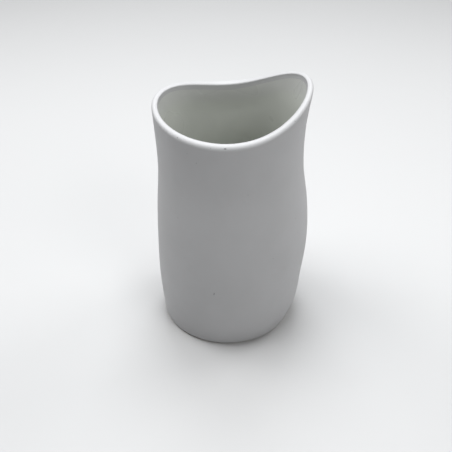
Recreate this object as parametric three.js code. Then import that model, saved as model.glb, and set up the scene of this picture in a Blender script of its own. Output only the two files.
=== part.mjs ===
// A flower vase: one slip-cast stoneware body, 200 mm tall, with a foot ring, a soft belly that leans to one
// side, a waist, and a mouth whose edge rises and falls. Three glazes are fused to it: a matte white one
// outside, which runs over the lip and ends just inside it, a satin one that lines the inside from there
// down, and a matte one under the foot. The foot ring is bare clay.
//
// Millimetres, +Z up. The table is z = 0. +X is the tall side of the mouth, and the origin is under the
// middle of the vase's width and depth. An angle is measured about +Z from +X.

import * as THREE from "three";

// Driving dimensions.
const OUTLINE = [
  // The outer wall is a stack of circles: the height of each, its radius, and how far its centre leans to +X.
  { z: 0, radius: 51.0, lean: 0.2 },
  { z: 16, radius: 54.8, lean: 2.1 },
  { z: 40, radius: 56.9, lean: 2.7 },
  { z: 72, radius: 58.1, lean: 4.2 },
  { z: 104, radius: 56.8, lean: 4.0 },
  { z: 136, radius: 53.4, lean: 2.7 },
  { z: 168, radius: 53.8, lean: 2.0 },
  { z: 200, radius: 56.8, lean: 2.7 },
];
const RIM_MEAN = 184.9; // the top of the lip: its mean height, then the tilt and the waves in it
const RIM_TILT = 6.2;
const RIM_WAVE = { height: 6.9, turn: 2 };
const RIM_RIPPLE = { height: 1.6, turn: 50 };
const LIP_RADIUS_SIDE = 2.1; // half the lip's thickness, less at +X and -X than in front and behind
const LIP_RADIUS_FRONT = 3.3;
const LIP_SLOPE = 25; // degrees: the lip is round outside, slopes in and down by this, then turns down
const LIP_CORNER_SHARE = 0.45; // on a corner whose radius is this share of the lip's
const LIP_BLEND = 22; // below the lip's centre, where its thickness has become the wall's
const WALL = 4.8; // wall, glazes included
const FLOOR = 6.5; // floor, glazes included, above the hollow under it
const FLOOR_FILLET = 14; // between the inside of the wall and the floor
const COAT = 0.5; // each glaze
const OVERLAP_DROP = 2; // how far the outer glaze comes down inside, from the lip's centre
const EDGE_RADIUS = 3.6; // bottom edge of the outer glaze
const GLAZE_LINE = 1.4; // height at which the outer glaze stops
const FOOT_OUTER = 49.0; // foot ring
const FOOT_INNER = 42.0;
const FOOT_HOLLOW = 1.6; // depth of the hollow under the floor, up to its glaze

// Fineness of the mesh.
const SEGMENTS = 56;
const OUTER_STEPS = 14;
const INNER_STEPS = 12;
const LIP_STEPS = 4;
const CORNER_STEPS = 2;
const OVERLAP_STEPS = 1;
const EDGE_STEPS = 3;
const FILLET_STEPS = 4;

const { degToRad, smoothstep } = THREE.MathUtils;

// The outline's radius or lean at height z: a smooth curve through the circles.
function outline(key, z) {
  const slope = (i, j) => (OUTLINE[j][key] - OUTLINE[i][key]) / (OUTLINE[j].z - OUTLINE[i].z);
  const last = OUTLINE.length - 1;
  let i = 0;
  while (i < last - 1 && z > OUTLINE[i + 1].z) i += 1;
  const length = OUTLINE[i + 1].z - OUTLINE[i].z;
  const start = length * slope(Math.max(i - 1, 0), i + 1);
  const end = length * slope(i, Math.min(i + 2, last));
  const t = (z - OUTLINE[i].z) / length;
  const rise = OUTLINE[i + 1][key] - OUTLINE[i][key];
  return OUTLINE[i][key] + t * (start + t * (3 * rise - 2 * start - end + t * (start + end - 2 * rise)));
}

function lipRadius(angle) {
  return LIP_RADIUS_SIDE + (LIP_RADIUS_FRONT - LIP_RADIUS_SIDE) * Math.sin(angle) ** 2;
}

// Height of the lip's centre line.
function lipHeight(angle) {
  const wave = RIM_WAVE.height * Math.cos(2 * angle - degToRad(RIM_WAVE.turn));
  const ripple = RIM_RIPPLE.height * Math.cos(3 * angle - degToRad(RIM_RIPPLE.turn));
  return RIM_MEAN + RIM_TILT * Math.cos(angle) + wave + ripple - lipRadius(angle);
}

// Thickness of the wall at height z: twice the lip's radius at the lip, and the wall's own further down.
function thickness(angle, z) {
  const top = lipHeight(angle);
  return WALL + (2 * lipRadius(angle) - WALL) * smoothstep(z, top - LIP_BLEND, top);
}

// A point given by its distance from the leaning centre line.
function place(radius, angle, z) {
  return new THREE.Vector3(outline("lean", z) + radius * Math.cos(angle), radius * Math.sin(angle), z);
}

// The functions below are stations on the vase's half section. Each takes the angle of the section and gives
// a point. depth is how far the station lies under the glazed surface: 0 on the glaze, COAT on the clay.

const onWallOutside = (share, depth) => (angle) => {
  const z = THREE.MathUtils.lerp(EDGE_RADIUS, lipHeight(angle), share);
  return place(outline("radius", z) - depth, angle, z);
};

// The lip turns on its own radius as far as the slope, and on cornerShare of it after that. turn is 0 at the
// outside of the lip, a quarter turn on top and a half turn at the inside.
const LIP_TURN = degToRad(90 + LIP_SLOPE);
const CORNER_RISE = Math.tan(degToRad(45 - LIP_SLOPE / 2));

const onLip = (cornerShare) => (turn, depth) => (angle) => {
  const lip = lipRadius(angle);
  const corner = cornerShare * lip;
  const z = lipHeight(angle);
  const across = outline("radius", z) - 2 * lip + corner + (corner - depth) * Math.cos(turn);
  const point = place(across, angle, z);
  return point.setZ(z + (lip - corner) * CORNER_RISE + (corner - depth) * Math.sin(turn));
};

const onWallInside = (z, angle, depth) => place(outline("radius", z) - thickness(angle, z) + depth, angle, z);

const onOverlap = (share, depth) => (angle) =>
  onWallInside(lipHeight(angle) - share * OVERLAP_DROP, angle, depth);

const FILLET_TOP = FOOT_HOLLOW + FLOOR + FLOOR_FILLET;

const onWallBelowOverlap = (share, depth) => (angle) =>
  onWallInside(THREE.MathUtils.lerp(FILLET_TOP, lipHeight(angle) - OVERLAP_DROP, share), angle, depth);

const onFloorFillet = (turn, depth) => (angle) => {
  const reach = outline("radius", FILLET_TOP) - WALL - FLOOR_FILLET;
  const radius = FLOOR_FILLET + depth;
  return place(reach + radius * Math.cos(turn), angle, FILLET_TOP - radius * Math.sin(turn));
};

// The bottom edge of the outer glaze turns in under the wall, from the wall at turn 0 down to the glaze line.
const EDGE_END = Math.asin((EDGE_RADIUS - GLAZE_LINE) / EDGE_RADIUS);

const onBottomEdge = (turn, depth) => (angle) => {
  const reach = outline("radius", EDGE_RADIUS) - EDGE_RADIUS;
  const radius = EDGE_RADIUS - depth;
  return place(reach + radius * Math.cos(turn), angle, EDGE_RADIUS - radius * Math.sin(turn));
};

const onFoot = (radius, z) => (angle) => place(radius, angle, z);

const onAxis = (z) => () => place(0, 0, z);

// Runs of stations. The first and last share of each run are included.
function run(station, from, to, steps, depth) {
  return Array.from({ length: steps + 1 }, (_, i) => station(from + ((to - from) * i) / steps, depth));
}

const outsideRun = (depth) => run(onWallOutside, 0, 1, OUTER_STEPS, depth);
const edgeRun = (depth) => run(onBottomEdge, EDGE_END, 0, EDGE_STEPS, depth).slice(0, -1);
const lipRun = (depth) => [
  ...run(onLip(1), 0, LIP_TURN, LIP_STEPS, depth).slice(1),
  ...run(onLip(LIP_CORNER_SHARE), LIP_TURN, Math.PI, CORNER_STEPS, depth),
];
const overlapRun = (depth) => run(onOverlap, 0, 1, OVERLAP_STEPS, depth).slice(1);
const liningRun = (depth) => [
  ...run(onWallBelowOverlap, 1, 0, INNER_STEPS, depth),
  ...run(onFloorFillet, 0, Math.PI / 2, FILLET_STEPS, depth).slice(1),
];

// The outer glaze's run, from the glaze line up the wall, over the lip and down to the edge of the lining.
const outerGlazeRun = (depth) => [
  ...edgeRun(depth),
  ...outsideRun(depth),
  ...lipRun(depth),
  ...overlapRun(depth),
];

const FLOOR_TOP = FOOT_HOLLOW + FLOOR;
const HOLLOW_CLAY = FOOT_HOLLOW + COAT;

// A closed skin through the stations, made by turning them round the vase. The lathe gives the grid of
// vertices, and the stations give each vertex its place. Each four-sided cell is cut along its shorter
// diagonal, so that a glaze and the clay under it meet all over.
function turned(stations) {
  const rows = stations.length;
  const geometry = new THREE.LatheGeometry(stations.map((_, j) => new THREE.Vector2(1, j)), SEGMENTS);
  const position = geometry.getAttribute("position");
  for (let i = 0; i <= SEGMENTS; i += 1) {
    const angle = (i % SEGMENTS) * ((2 * Math.PI) / SEGMENTS);
    stations.forEach((station, j) => position.setXYZ(i * rows + j, ...station(angle)));
  }
  const corner = (index) => new THREE.Vector3().fromBufferAttribute(position, index);
  const distance = (p, q) => corner(p).distanceToSquared(corner(q));
  const faces = [];
  for (let a = 0; a < SEGMENTS * rows; a += 1) {
    if (a % rows === rows - 1) continue;
    const [b, c, d] = [a + rows, a + rows + 1, a + 1];
    faces.push(...(distance(a, c) < distance(b, d) ? [a, b, c, a, c, d] : [a, b, d, b, c, d]));
  }
  geometry.setIndex(faces);
  geometry.computeVertexNormals();
  return geometry;
}

function piece(name, stations, color, roughness) {
  const material = new THREE.MeshStandardMaterial({ color, roughness, metalness: 0 });
  const mesh = new THREE.Mesh(turned(stations), material);
  mesh.name = name;
  return mesh;
}

const stonewareBody = piece(
  "stoneware_body",
  [
    onAxis(HOLLOW_CLAY),
    onFoot(FOOT_INNER, HOLLOW_CLAY),
    onFoot(FOOT_INNER, FOOT_HOLLOW),
    onFoot(FOOT_INNER, 0),
    onFoot(FOOT_OUTER, 0),
    onBottomEdge(EDGE_END, COAT),
    ...outerGlazeRun(COAT).slice(1),
    ...liningRun(COAT).slice(1),
    onAxis(FLOOR_TOP - COAT),
  ],
  0xd9d2c4,
  0.85,
);

const outerGlaze = piece(
  "outer_glaze",
  [...outerGlazeRun(0), ...outerGlazeRun(COAT).reverse(), outerGlazeRun(0)[0]],
  0xb0b0b1,
  0.6,
);

const innerGlaze = piece(
  "inner_glaze",
  [onAxis(FLOOR_TOP - COAT), ...liningRun(COAT).reverse(), ...liningRun(0), onAxis(FLOOR_TOP)],
  0xbdc0ba,
  0.3,
);

const baseGlaze = piece(
  "base_glaze",
  [
    onAxis(FOOT_HOLLOW),
    onFoot(FOOT_INNER, FOOT_HOLLOW),
    onFoot(FOOT_INNER, HOLLOW_CLAY),
    onAxis(HOLLOW_CLAY),
  ],
  0xb0b0b1,
  0.6,
);

const vase = new THREE.Group();
vase.add(stonewareBody, outerGlaze, innerGlaze, baseGlaze);

// The belly leans, so the vase is moved to put the middle of its width over the origin.
const middle = new THREE.Box3().setFromObject(vase).getCenter(new THREE.Vector3());
vase.position.x = -middle.x;

export default vase;
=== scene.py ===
"""A flower vase in a plain studio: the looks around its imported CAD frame.

Metres, +Z up, in the frame of the CAD part. Each coat of glaze and the clay body is a fine mesh in the
place of its CAD node, made from the same driving dimensions. An angle is in radians, about +Z from +X, unless
a comment says otherwise. A depth is measured from the glazed surface into the wall.
"""

import math

import bpy
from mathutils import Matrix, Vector, noise


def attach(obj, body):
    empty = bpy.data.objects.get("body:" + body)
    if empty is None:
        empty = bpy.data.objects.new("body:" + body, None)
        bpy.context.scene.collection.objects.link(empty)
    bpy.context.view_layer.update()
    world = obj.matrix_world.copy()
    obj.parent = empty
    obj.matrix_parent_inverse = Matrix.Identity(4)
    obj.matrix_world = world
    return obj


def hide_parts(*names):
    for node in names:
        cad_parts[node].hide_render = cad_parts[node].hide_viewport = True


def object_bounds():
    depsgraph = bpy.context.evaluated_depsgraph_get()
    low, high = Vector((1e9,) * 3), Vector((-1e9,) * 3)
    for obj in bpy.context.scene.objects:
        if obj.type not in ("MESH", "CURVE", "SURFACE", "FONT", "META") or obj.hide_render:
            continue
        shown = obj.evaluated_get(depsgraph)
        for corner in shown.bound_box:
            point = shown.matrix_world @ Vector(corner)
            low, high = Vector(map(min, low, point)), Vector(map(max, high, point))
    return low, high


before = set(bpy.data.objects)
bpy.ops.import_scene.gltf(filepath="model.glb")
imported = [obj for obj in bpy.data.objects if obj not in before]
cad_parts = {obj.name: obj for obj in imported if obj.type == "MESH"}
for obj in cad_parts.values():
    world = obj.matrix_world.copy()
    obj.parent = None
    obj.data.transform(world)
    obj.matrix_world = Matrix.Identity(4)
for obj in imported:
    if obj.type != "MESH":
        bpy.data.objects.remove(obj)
cad_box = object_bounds()

MM = 0.001

# The vase, as in the CAD part.
OUTLINE = [
    # The outer wall is a stack of circles: the height of each, its radius, and its centre's lean to +X.
    (0 * MM, 51.0 * MM, 0.2 * MM),
    (16 * MM, 54.8 * MM, 2.1 * MM),
    (40 * MM, 56.9 * MM, 2.7 * MM),
    (72 * MM, 58.1 * MM, 4.2 * MM),
    (104 * MM, 56.8 * MM, 4.0 * MM),
    (136 * MM, 53.4 * MM, 2.7 * MM),
    (168 * MM, 53.8 * MM, 2.0 * MM),
    (200 * MM, 56.8 * MM, 2.7 * MM),
]
HEIGHT, RADIUS, LEAN = 0, 1, 2
RIM_MEAN = 184.9 * MM
RIM_TILT = 6.2 * MM
RIM_WAVE, RIM_WAVE_TURN = 6.9 * MM, math.radians(2)
RIM_RIPPLE, RIM_RIPPLE_TURN = 1.6 * MM, math.radians(50)
LIP_RADIUS_SIDE = 2.1 * MM  # half the lip's thickness, less at +X and -X than in front and behind
LIP_RADIUS_FRONT = 3.3 * MM
LIP_SLOPE = math.radians(25)  # the lip is round outside, slopes in and down by this, then turns down
LIP_CORNER_SHARE = 0.45  # on a corner whose radius is this share of the lip's
LIP_BLEND = 22 * MM
WALL = 4.8 * MM
FLOOR = 6.5 * MM
FLOOR_FILLET = 14 * MM
COAT = 0.5 * MM
OVERLAP_DROP = 2 * MM
EDGE_RADIUS = 3.6 * MM
GLAZE_LINE = 1.4 * MM
FOOT_OUTER = 49.0 * MM
FOOT_INNER = 42.0 * MM
FOOT_HOLLOW = 1.6 * MM

# What the looks add to it.
UNEVEN = 0.10 * MM  # how far hand finishing and glaze leave the surface from its true shape
UNEVEN_SIZE = 32 * MM
LINE_WAVER = 0.3 * MM  # how far the edge of the outer glaze wanders inside the mouth
LINE_PATH_RADIUS, LINE_PATH_HEIGHT = 2.2, 0.66  # the circle in the noise along which it wanders
LINE_STEP = 0.02 * MM  # how far that edge stands proud of the inner glaze
BEAD = 0.28 * MM  # the bead that the outer glaze gathers into at the foot
FOOT_EDGE = 0.7 * MM  # the worn edges of the foot ring
FOOT_EDGE_TUCK = 0.7  # the outer one stops this angle short, under the glaze
MENISCUS = 1.1 * MM  # where the glaze in the hollow meets the foot ring

# Fineness of the meshes, where they show and where they're hidden.
SEGMENTS = 240
BEAD_STEPS = 8
EDGE_STEPS, HIDDEN_EDGE_STEPS = 10, 6
OUTER_STEPS, HIDDEN_OUTER_STEPS = 110, 24
LIP_STEPS, HIDDEN_LIP_STEPS = 10, 4
OVERLAP_STEPS = 6
INNER_STEPS, HIDDEN_INNER_STEPS = 80, 20
FILLET_STEPS, HIDDEN_FILLET_STEPS = 16, 8
FLOOR_STEPS = 12
ROOF_STEPS = 8
MENISCUS_STEPS = 6
FOOT_STEPS = 6
FOOT_EDGE_STEPS = 5


# Shape

def outline(key, z):
    """The outer wall's radius or lean at height z: a smooth curve through the circles."""
    def slope(i, j):
        return (OUTLINE[j][key] - OUTLINE[i][key]) / (OUTLINE[j][HEIGHT] - OUTLINE[i][HEIGHT])

    last = len(OUTLINE) - 1
    i = 0
    while i < last - 1 and z > OUTLINE[i + 1][HEIGHT]:
        i += 1
    length = OUTLINE[i + 1][HEIGHT] - OUTLINE[i][HEIGHT]
    start = length * slope(max(i - 1, 0), i + 1)
    end = length * slope(i, min(i + 2, last))
    t = (z - OUTLINE[i][HEIGHT]) / length
    rise = OUTLINE[i + 1][key] - OUTLINE[i][key]
    return OUTLINE[i][key] + t * (start + t * (3 * rise - 2 * start - end + t * (start + end - 2 * rise)))


def middle_of_width():
    """The middle of the vase's width before it is moved, from its sides at each millimetre of height."""
    heights = [i * MM for i in range(round(OUTLINE[-1][HEIGHT] / MM))]
    right = max(outline(LEAN, z) + outline(RADIUS, z) for z in heights)
    left = min(outline(LEAN, z) - outline(RADIUS, z) for z in heights)
    return (left + right) / 2


MIDDLE = middle_of_width()


def smooth_step(x, low, high):
    """A smooth rise from 0 at low to 1 at high."""
    t = min(max((x - low) / (high - low), 0), 1)
    return t * t * (3 - 2 * t)


def lip_radius(angle):
    return LIP_RADIUS_SIDE + (LIP_RADIUS_FRONT - LIP_RADIUS_SIDE) * math.sin(angle) ** 2


def lip_height(angle):
    """Height of the lip's centre line."""
    wave = RIM_WAVE * math.cos(2 * angle - RIM_WAVE_TURN)
    ripple = RIM_RIPPLE * math.cos(3 * angle - RIM_RIPPLE_TURN)
    return RIM_MEAN + RIM_TILT * math.cos(angle) + wave + ripple - lip_radius(angle)


def thickness(angle, z):
    """The wall's thickness: twice the lip's radius at the lip, and WALL further down."""
    top = lip_height(angle)
    return WALL + (2 * lip_radius(angle) - WALL) * smooth_step(z, top - LIP_BLEND, top)


def line_drop(angle):
    """How far below the lip's centre line the outer glaze ends inside the mouth."""
    across, along = LINE_PATH_RADIUS * math.cos(angle), LINE_PATH_RADIUS * math.sin(angle)
    return OVERLAP_DROP + LINE_WAVER * noise.noise(Vector((across, along, LINE_PATH_HEIGHT)))


def place(radius, angle, z):
    """A point given by its distance from the leaning centre line."""
    return Vector((outline(LEAN, z) - MIDDLE + radius * math.cos(angle), radius * math.sin(angle), z))


# The functions below give stations on the vase's half section. A station gives a point for an angle.

def on_wall_outside(share, depth):
    def station(angle):
        z = EDGE_RADIUS + share * (lip_height(angle) - EDGE_RADIUS)
        return place(outline(RADIUS, z) - depth, angle, z)
    return station


# The lip turns on its own radius as far as its slope, and on a corner after that.
LIP_TURN = math.pi / 2 + LIP_SLOPE
CORNER_RISE = math.tan(math.pi / 4 - LIP_SLOPE / 2)


def on_lip(turn, depth, corner_share=1):
    """turn is 0 at the outside of the lip, a quarter turn on top and a half turn at the inside."""
    def station(angle):
        lip = lip_radius(angle)
        corner = corner_share * lip
        z = lip_height(angle)
        across = outline(RADIUS, z) - 2 * lip + corner + (corner - depth) * math.cos(turn)
        point = place(across, angle, z)
        point.z += (lip - corner) * CORNER_RISE + (corner - depth) * math.sin(turn)
        return point
    return station


def on_lip_corner(turn, depth):
    return on_lip(turn, depth, LIP_CORNER_SHARE)


def on_wall_inside(z, angle, depth):
    return place(outline(RADIUS, z) - thickness(angle, z) + depth, angle, z)


def on_overlap(share, depth):
    """The outer glaze inside the mouth, from the lip's centre line at share 0 to its own edge at share 1."""
    def station(angle):
        return on_wall_inside(lip_height(angle) - share * line_drop(angle), angle, depth)
    return station


FILLET_TOP = FOOT_HOLLOW + FLOOR + FLOOR_FILLET


def on_wall_below_overlap(share, depth):
    def station(angle):
        top = lip_height(angle) - line_drop(angle)
        return on_wall_inside(FILLET_TOP + share * (top - FILLET_TOP), angle, depth)
    return station


def on_floor_fillet(turn, depth):
    def station(angle):
        reach = outline(RADIUS, FILLET_TOP) - WALL - FLOOR_FILLET
        radius = FLOOR_FILLET + depth
        return place(reach + radius * math.cos(turn), angle, FILLET_TOP - radius * math.sin(turn))
    return station


EDGE_END = math.asin((EDGE_RADIUS - GLAZE_LINE) / EDGE_RADIUS)


def on_bottom_edge(turn, depth):
    """The outer glaze's bottom edge turns in under the wall, from the wall at turn 0 to the glaze line."""
    def station(angle):
        reach = outline(RADIUS, EDGE_RADIUS) - EDGE_RADIUS
        radius = EDGE_RADIUS - depth
        return place(reach + radius * math.cos(turn), angle, EDGE_RADIUS - radius * math.sin(turn))
    return station


def on_foot(radius, z):
    return lambda angle: place(radius, angle, z)


def on_axis(z):
    return lambda angle: place(0, 0, z)


def shares(start, end, steps):
    return [start + (end - start) * i / steps for i in range(steps + 1)]


def run(station, start, end, steps, depth):
    return [station(share, depth) for share in shares(start, end, steps)]


def lip_run(steps, depth):
    """Over the lip, from past its outside to its inside."""
    return [*run(on_lip, 0, LIP_TURN, steps, depth)[1:], *run(on_lip_corner, LIP_TURN, math.pi, steps, depth)]


def outer_glaze_stations():
    """From the glaze line up the wall, over the lip and down to its edge inside, then back along the clay."""
    bead_radius = (COAT + BEAD) / 2
    bead_turn = bead_radius / EDGE_RADIUS
    bead_depth = (COAT - BEAD) / 2
    bead = [
        on_bottom_edge(EDGE_END - bead_turn * (1 - math.cos(turn)), bead_depth - bead_radius * math.sin(turn))
        for turn in shares(-math.pi / 2, math.pi / 2, BEAD_STEPS)
    ]
    edge = [
        on_bottom_edge(turn, -BEAD * smooth_step(turn, 0, EDGE_END - bead_turn))
        for turn in shares(EDGE_END - bead_turn, 0, EDGE_STEPS)
    ]
    # Inside, the glaze swells to stand proud of the inner one, and its edge rounds down to half of that.
    inside = [
        on_overlap(share, -LINE_STEP * smooth_step(share, 0.5, 0.9))
        for share in shares(0, 0.96, OVERLAP_STEPS)
    ]
    inside += [on_overlap(1, -LINE_STEP / 2), on_overlap(1, COAT)]
    wall = run(on_wall_outside, 0, 1, OUTER_STEPS, 0)
    shown = [*bead, *edge[1:], *wall[1:], *lip_run(LIP_STEPS, 0), *inside]
    hidden = [
        *reversed(lip_run(HIDDEN_LIP_STEPS, COAT)),
        *run(on_wall_outside, 1, 0, HIDDEN_OUTER_STEPS, COAT)[1:],
        bead[0],
    ]
    return shown, hidden


def inner_glaze_stations():
    """From its top edge down the wall and over the floor to the middle, then back along the clay."""
    wall = run(on_wall_below_overlap, 1, 0, INNER_STEPS, 0)
    fillet = run(on_floor_fillet, 0, math.pi / 2, FILLET_STEPS, 0)
    floor_top = FOOT_HOLLOW + FLOOR
    reach = outline(RADIUS, FILLET_TOP) - WALL - FLOOR_FILLET
    across = [on_foot(reach * share, floor_top) for share in shares(1, 0, FLOOR_STEPS)[1:-1]]
    shown = [on_wall_below_overlap(1, COAT), *wall, *fillet[1:], *across, on_axis(floor_top)]
    hidden = [
        on_axis(floor_top - COAT),
        *run(on_floor_fillet, math.pi / 2, 0, HIDDEN_FILLET_STEPS, COAT),
        *run(on_wall_below_overlap, 0, 1, HIDDEN_INNER_STEPS, COAT)[1:],
    ]
    return shown, hidden


def rounded(middle_radius, middle_z, radius, turns, steps):
    """Stations on an arc of the section, about the middle at middle_radius and middle_z."""
    return [
        on_foot(middle_radius + radius * math.cos(turn), middle_z + radius * math.sin(turn))
        for turn in shares(*turns, steps)
    ]


def base_glaze_stations():
    """The hollow's roof, with a meniscus where the glaze meets the foot ring."""
    middle_radius, middle_z = FOOT_INNER - MENISCUS, FOOT_HOLLOW - MENISCUS
    roof = [on_foot(FOOT_INNER * share, FOOT_HOLLOW) for share in shares(0.1, 0.9, ROOF_STEPS)]
    side = rounded(middle_radius, middle_z, MENISCUS, (math.pi / 2, 0), MENISCUS_STEPS)
    shown = [on_axis(FOOT_HOLLOW), *roof, *side]
    hidden = [on_foot(FOOT_INNER, FOOT_HOLLOW + COAT), on_axis(FOOT_HOLLOW + COAT)]
    return shown, hidden


def clay_stations():
    """The whole body of clay. Only the foot ring shows."""
    left, down, right = math.pi, 1.5 * math.pi, 2 * math.pi
    worn_inner = (FOOT_INNER + FOOT_EDGE, FOOT_EDGE, FOOT_EDGE)
    worn_outer = (FOOT_OUTER - FOOT_EDGE, FOOT_EDGE, FOOT_EDGE)
    ring_width = FOOT_OUTER - FOOT_INNER
    ring = [
        *rounded(*worn_inner, (left, down), FOOT_EDGE_STEPS),
        *[on_foot(FOOT_INNER + ring_width * share, 0) for share in shares(0.15, 0.85, FOOT_STEPS)],
        *rounded(*worn_outer, (down, right - FOOT_EDGE_TUCK), FOOT_EDGE_STEPS),
    ]
    roof = FOOT_HOLLOW + COAT
    below = [on_axis(roof), on_foot(FOOT_INNER, roof)]
    edge = run(on_bottom_edge, EDGE_END, 0, HIDDEN_EDGE_STEPS, COAT)
    wall = run(on_wall_outside, 0, 1, HIDDEN_OUTER_STEPS, COAT)
    lip = lip_run(HIDDEN_LIP_STEPS, COAT)
    inside = [on_overlap(1, COAT), *run(on_wall_below_overlap, 1, 0, HIDDEN_INNER_STEPS, COAT)[1:]]
    fillet = run(on_floor_fillet, 0, math.pi / 2, HIDDEN_FILLET_STEPS, COAT)
    floor_middle = on_axis(FOOT_HOLLOW + FLOOR - COAT)
    return [*below, *ring], [*edge, *wall[1:], *lip, *inside, *fillet[1:], floor_middle]


# Meshes

ON_AXIS = 1e-7  # a station narrower than this is one point on the axis
CREASE = math.radians(50)  # faces that meet at more than this aren't shaded as one surface


def turned(name, shown, hidden=(), uneven=False):
    """A skin through stations, those that show and then those that don't.

    With hidden stations the skin closes on itself. A station on the axis becomes one vertex. If uneven is
    true, the surface that shows is moved a little in or out, as a hand and a brush leave it.
    """
    rows, points = [], []
    for station in [*shown, *hidden]:
        row = [station(2 * math.pi * i / SEGMENTS) for i in range(SEGMENTS)]
        if (row[0] - row[SEGMENTS // 2]).length < ON_AXIS:
            row = row[:1]
        rows.append(range(len(points), len(points) + len(row)))
        points += row
    faces = []
    neighbours = [*rows[1:], rows[0]] if hidden else rows[1:]
    for low, high in zip(rows, neighbours):
        if len(low) == 1 and len(high) == 1:
            continue
        for i in range(SEGMENTS):
            j = (i + 1) % SEGMENTS
            cell = [low[i % len(low)], low[j % len(low)], high[j % len(high)], high[i % len(high)]]
            faces.append(list(dict.fromkeys(cell)))  # a triangle where a row is one vertex
    mesh = bpy.data.meshes.new(name)
    mesh.from_pydata(points, [], faces)
    if uneven:
        shown_vertices = mesh.vertices[:rows[len(shown) - 1][-1] + 1]
        moves = [v.normal * (UNEVEN * noise.noise(v.co / UNEVEN_SIZE)) for v in shown_vertices]
        for vertex, move in zip(shown_vertices, moves):
            vertex.co += move
    mesh.polygons.foreach_set("use_smooth", [True] * len(mesh.polygons))
    mesh.set_sharp_from_angle(angle=CREASE)
    mesh.update()
    piece = bpy.data.objects.new(name, mesh)
    bpy.context.scene.collection.objects.link(piece)
    return piece


# Materials. Every size in them is in metres of the vase, through its object coordinates.

GLAZE_WHITE = (0.435, 0.435, 0.44, 1)
GLAZE_THIN = (0.42, 0.42, 0.424, 1)
LINER_TOP = (0.50, 0.507, 0.488, 1)
LINER_TINT = (0.515, 0.527, 0.495, 1)
LINER_POOL = (0.50, 0.518, 0.475, 1)
CLAY_BUFF = (0.66, 0.60, 0.51, 1)
CLAY_DARK = (0.52, 0.45, 0.36, 1)
SPECK_BROWN = (0.16, 0.12, 0.09, 1)
SPECK_GREY = (0.08, 0.08, 0.085, 1)
FLOOR_PALE = (0.51, 0.51, 0.51, 1)
FLOOR_SHADE = (0.50, 0.50, 0.50, 1)

LIP_MARK_TURN = 0.6  # how far round the lip's section its marks are

# Small marks on the outer glaze: the angle, the height, or None for the lip, and the radius. The first three
# make a dash on the lip, and the last three a scratch low on the wall.
MARKS = [
    (math.radians(265.8), None, 0.4 * MM),
    (math.radians(266.4), None, 0.5 * MM),
    (math.radians(267.0), None, 0.4 * MM),
    (math.radians(230), None, 0.4 * MM),
    (math.radians(320), None, 0.4 * MM),
    (math.radians(336.5), 152.5 * MM, 0.3 * MM),
    (math.radians(282.5), 141 * MM, 0.3 * MM),
    (math.radians(315.5), 19 * MM, 0.35 * MM),
    (math.radians(256.7), 55.6 * MM, 0.4 * MM),
    (math.radians(256.9), 56.4 * MM, 0.45 * MM),
    (math.radians(256.9), 57.2 * MM, 0.4 * MM),
]


def feed(tree, socket, value):
    """Link value to socket if it is the output of a node, and otherwise set it."""
    if isinstance(value, bpy.types.NodeSocket):
        tree.links.new(value, socket)
    else:
        socket.default_value = value


def add_node(tree, kind, settings=None, **inputs):
    """A node with its settings, and its inputs set or linked. An input's spaces are written as _ here."""
    made = tree.nodes.new(kind)
    for key, value in (settings or {}).items():
        setattr(made, key, value)
    for key, value in inputs.items():
        feed(tree, made.inputs[key.replace("_", " ")], value)
    return made


def new_material(name):
    material = bpy.data.materials.new(name)
    material.use_nodes = True
    tree = material.node_tree
    return material, tree, tree.nodes["Principled BSDF"]


def object_place(tree):
    return add_node(tree, "ShaderNodeTexCoord").outputs["Object"]


def noise_of(tree, place_socket, size, detail):
    """A noise from 0 to 1, mostly near 0.5, with patches about as large as size."""
    made = add_node(tree, "ShaderNodeTexNoise", Vector=place_socket, Scale=1 / size, Detail=detail)
    return made.outputs["Fac"]


def ramp(tree, value, low, high, to_low=0.0, to_high=1.0):
    """value, spread from low..high to to_low..to_high, smoothly, and held there past the ends."""
    made = add_node(
        tree,
        "ShaderNodeMapRange",
        {"interpolation_type": "SMOOTHSTEP"},
        Value=value,
        From_Min=low,
        From_Max=high,
        To_Min=to_low,
        To_Max=to_high,
    )
    return made.outputs["Result"]


def mixed(tree, share, first, second):
    """A colour between two, each a colour or the output of a node."""
    made = add_node(tree, "ShaderNodeMix", {"data_type": "RGBA"})
    colours = [socket for socket in made.inputs if socket.type == "RGBA"]
    tree.links.new(share, made.inputs["Factor"])
    for socket, colour in zip(colours, (first, second)):
        feed(tree, socket, colour)
    return next(socket for socket in made.outputs if socket.type == "RGBA")


def calculated(tree, operation, first, second):
    made = add_node(tree, "ShaderNodeMath", {"operation": operation})
    for socket, value in zip(made.inputs, (first, second)):
        feed(tree, socket, value)
    return made.outputs["Value"]


DOT_CORE = 0.6  # the share of a dot's radius, and of a mark's, that is full strength
MARK_CORE = 0.5


def dots(tree, place_socket, spacing, radius):
    """1 in sparse dots and 0 round them: where the surface meets small balls scattered through space."""
    made = add_node(tree, "ShaderNodeTexVoronoi", Vector=place_socket, Scale=1 / spacing)
    edge = radius / spacing
    return ramp(tree, made.outputs["Distance"], DOT_CORE * edge, edge, to_low=1, to_high=0)


def mark(tree, place_socket, point, radius):
    """1 at point and 0 past radius from it."""
    made = add_node(tree, "ShaderNodeVectorMath", {"operation": "DISTANCE"})
    feed(tree, made.inputs[0], place_socket)
    feed(tree, made.inputs[1], point)
    return ramp(tree, made.outputs["Value"], MARK_CORE * radius, radius, to_low=1, to_high=0)


def raise_surface(tree, shader, height, depth):
    """Relief in the surface. Where height rises by 1, the surface rises by depth."""
    bump = add_node(tree, "ShaderNodeBump", Height=height, Distance=depth, Strength=1.0)
    tree.links.new(bump.outputs["Normal"], shader.inputs["Normal"])


GLAZE_RELIEF = 0.03 * MM
GRAIN_SHARE = 0.25  # the eggshell grain's share of that relief, next to the swell


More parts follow.
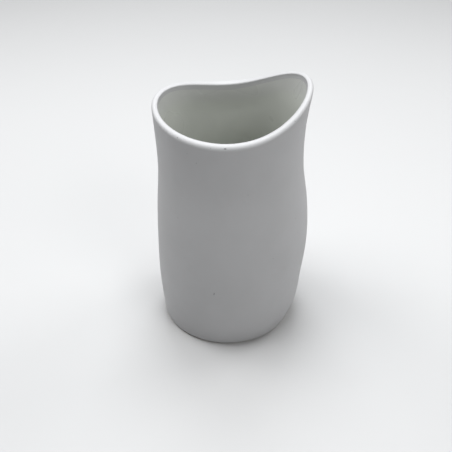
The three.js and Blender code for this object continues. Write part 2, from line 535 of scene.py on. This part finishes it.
def matte_glaze():
    """The outer glaze: matte white, thinner in clouds, with an eggshell surface, specks and pinholes."""
    material, tree, shader = new_material("matte_glaze")
    at = object_place(tree)
    cloud = noise_of(tree, at, 34 * MM, 3)
    grain = noise_of(tree, at, 0.8 * MM, 3)
    swell = noise_of(tree, at, 5 * MM, 2)
    specks = dots(tree, at, 11 * MM, 0.3 * MM)
    pits = dots(tree, at, 7 * MM, 0.35 * MM)
    for angle, height, radius in MARKS:
        if height is None:
            point = on_lip(LIP_MARK_TURN, 0)(angle)
        else:
            point = place(outline(RADIUS, height), angle, height)
        specks = calculated(tree, "MAXIMUM", specks, mark(tree, at, point, radius))
    colour = mixed(tree, ramp(tree, cloud, 0.35, 0.65), GLAZE_WHITE, GLAZE_THIN)
    colour = mixed(tree, ramp(tree, grain, 0.62, 0.8, to_low=0, to_high=0.25), colour, GLAZE_THIN)
    colour = mixed(tree, specks, colour, SPECK_GREY)
    tree.links.new(colour, shader.inputs["Base Color"])
    roughness = ramp(tree, grain, 0.3, 0.7, to_low=0.5, to_high=0.62)
    tree.links.new(roughness, shader.inputs["Roughness"])
    surface = calculated(tree, "MULTIPLY", grain, GRAIN_SHARE)
    surface = calculated(tree, "ADD", surface, swell)
    surface = calculated(tree, "SUBTRACT", surface, pits)
    raise_surface(tree, shader, surface, GLAZE_RELIEF)
    return material


THIN_TO, THICK_FROM = 10 * MM, 20 * MM  # below the lip, where the inner glaze stops being thin and is thick
THIN_WANDER = 6 * MM  # how much higher that is in places
POOL_TOP, POOL_FULL = 1.6 * FILLET_TOP, 0.5 * FILLET_TOP  # the heights between which it pools


def satin_glaze():
    """The inner glaze: satin, faintly green-grey, thin under the lip and pooled on the floor."""
    material, tree, shader = new_material("satin_glaze")
    at = object_place(tree)
    cloud = noise_of(tree, at, 30 * MM, 1)
    swell = noise_of(tree, at, 9 * MM, 1)
    height = add_node(tree, "ShaderNodeSeparateXYZ", Vector=at).outputs["Z"]
    pooled = ramp(tree, height, POOL_FULL, POOL_TOP, to_low=1, to_high=0)
    drop = add_node(tree, "ShaderNodeAttribute", {"attribute_name": "below_lip"}).outputs["Fac"]
    wander = calculated(tree, "MULTIPLY", cloud, THIN_WANDER)
    thick = ramp(tree, calculated(tree, "ADD", drop, wander), THIN_TO, THICK_FROM)
    colour = mixed(tree, calculated(tree, "MULTIPLY", cloud, 0.5), LINER_TINT, LINER_POOL)
    colour = mixed(tree, thick, LINER_TOP, colour)
    colour = mixed(tree, pooled, colour, LINER_POOL)
    tree.links.new(colour, shader.inputs["Base Color"])
    roughness = ramp(tree, cloud, 0.3, 0.7, to_low=0.26, to_high=0.34)
    tree.links.new(roughness, shader.inputs["Roughness"])
    raise_surface(tree, shader, swell, GLAZE_RELIEF)
    return material


CLAY_RELIEF = 0.1 * MM


def bare_clay():
    """The foot ring: buff stoneware, sanded, with darker grog in it."""
    material, tree, shader = new_material("bare_stoneware")
    at = object_place(tree)
    grain = noise_of(tree, at, 0.6 * MM, 5)
    cloud = noise_of(tree, at, 12 * MM, 3)
    grog = dots(tree, at, 1.6 * MM, 0.35 * MM)
    colour = mixed(tree, ramp(tree, cloud, 0.3, 0.7, to_low=0, to_high=0.4), CLAY_BUFF, CLAY_DARK)
    colour = mixed(tree, ramp(tree, grain, 0.55, 0.75, to_low=0, to_high=0.6), colour, CLAY_DARK)
    colour = mixed(tree, calculated(tree, "MULTIPLY", grog, 0.7), colour, SPECK_BROWN)
    tree.links.new(colour, shader.inputs["Base Color"])
    roughness = ramp(tree, grain, 0.3, 0.7, to_low=0.8, to_high=0.95)
    tree.links.new(roughness, shader.inputs["Roughness"])
    raise_surface(tree, shader, calculated(tree, "SUBTRACT", grain, grog), CLAY_RELIEF)
    return material


def pale_floor():
    material, tree, shader = new_material("pale_floor")
    cloud = noise_of(tree, object_place(tree), 300 * MM, 2)
    tree.links.new(mixed(tree, cloud, FLOOR_PALE, FLOOR_SHADE), shader.inputs["Base Color"])
    shader.inputs["Roughness"].default_value = 0.9
    return material


# The vase

def write_drop(piece):
    """Write on each vertex how far below the lip's centre line it is, for the inner glaze's colour."""
    drops = piece.data.attributes.new("below_lip", "FLOAT", "POINT")
    for vertex, drop in zip(piece.data.vertices, drops.data):
        x, y, z = vertex.co
        drop.value = lip_height(math.atan2(y, x + MIDDLE - outline(LEAN, z))) - z


def make_vase():
    matte, satin, clay = matte_glaze(), satin_glaze(), bare_clay()
    pieces = [
        ("outer_coat", outer_glaze_stations(), True, matte, "outer_glaze", "matte_glaze"),
        ("inner_coat", inner_glaze_stations(), True, satin, "inner_glaze", "satin_glaze"),
        ("foot_hollow_coat", base_glaze_stations(), False, matte, "base_glaze", "matte_glaze"),
        ("clay_body", clay_stations(), False, clay, "stoneware_body", "bare_stoneware"),
    ]
    for name, stations, uneven, material, node_name, slot_name in pieces:
        piece = turned(name, *stations, uneven=uneven)
        piece.data.materials.append(material)
        if material is satin:
            write_drop(piece)
        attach(piece, "root")
        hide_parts(node_name)


# Studio

AIM = Vector((0, 0, cad_box[1].z / 2))
SKY = (0.96, 0.98, 1)


def round_the_vase(azimuth, elevation, distance):
    """A point round the vase's middle. In degrees, azimuth 0 is in front of it, at -Y, and 90 is at +X."""
    a, e = math.radians(azimuth), math.radians(elevation)
    return AIM + distance * Vector((math.sin(a) * math.cos(e), -math.cos(a) * math.cos(e), math.sin(e)))


def softbox(name, azimuth, elevation, distance, size, watts, colour=(1, 1, 1)):
    """A square light that faces the vase."""
    light = bpy.data.lights.new(name, "AREA")
    light.shape = "SQUARE"
    light.size = size
    light.energy = watts
    light.color = colour
    lamp = bpy.data.objects.new(name, light)
    lamp.location = round_the_vase(azimuth, elevation, distance)
    lamp.rotation_euler = (AIM - lamp.location).to_track_quat("-Z", "Y").to_euler()
    bpy.context.scene.collection.objects.link(lamp)


def make_backdrop():
    """A round table of pale card that curves up at its edge."""
    flat, sweep, sweep_turn, sweep_steps = 1.3, 1.1, math.radians(80), 12
    flat_rows = [(flat * share, 0) for share in (0, 0.05, 0.2, 0.6, 1)]
    turns = shares(0, sweep_turn, sweep_steps)[1:]
    curved_rows = [(flat + sweep * math.sin(turn), sweep * (1 - math.cos(turn))) for turn in turns]

    def at(radius, z):
        return lambda angle: Vector((radius * math.cos(angle), radius * math.sin(angle), z))

    floor = turned("backdrop", [at(radius, z) for radius, z in flat_rows + curved_rows])
    floor.data.materials.append(pale_floor())


def make_world():
    world = bpy.data.worlds.new("studio")
    world.use_nodes = True
    background = world.node_tree.nodes["Background"]
    background.inputs["Color"].default_value = (1, 1, 1, 1)
    background.inputs["Strength"].default_value = 0.15
    bpy.context.scene.world = world


def make_camera():
    """A camera in front of the vase and above it, not rolled, with a lens that takes in 35 degrees."""
    distance, elevation = 0.564, math.radians(36)
    target = Vector((-0.0048, 0, 0.0776))
    data = bpy.data.cameras.new("camera")
    data.sensor_width = 36  # this and the lens are in millimetres
    data.lens = 57.35
    camera = bpy.data.objects.new("camera", data)
    camera.location = target + distance * Vector((0, -math.cos(elevation), math.sin(elevation)))
    camera.rotation_euler = (math.pi / 2 - elevation, 0, 0)
    bpy.context.scene.collection.objects.link(camera)
    bpy.context.scene.camera = camera


make_camera()
make_vase()
make_backdrop()
make_world()
softbox("top", 0, 89, 1.0, 0.4, 6.6, SKY)
softbox("high_behind", 180, 65, 1.4, 0.6, 11, SKY)
softbox("high_left", -90, 65, 1.4, 0.6, 6.4)
softbox("left_behind", -120, 42, 1.2, 0.45, 3.2)
softbox("right_behind", 120, 42, 1.2, 0.45, 3.5)
softbox("front", 36, 42, 1.2, 0.45, 3.2)
softbox("right", 65, 18, 1.2, 0.45, 1)
bpy.context.scene.view_settings.view_transform = "Standard"
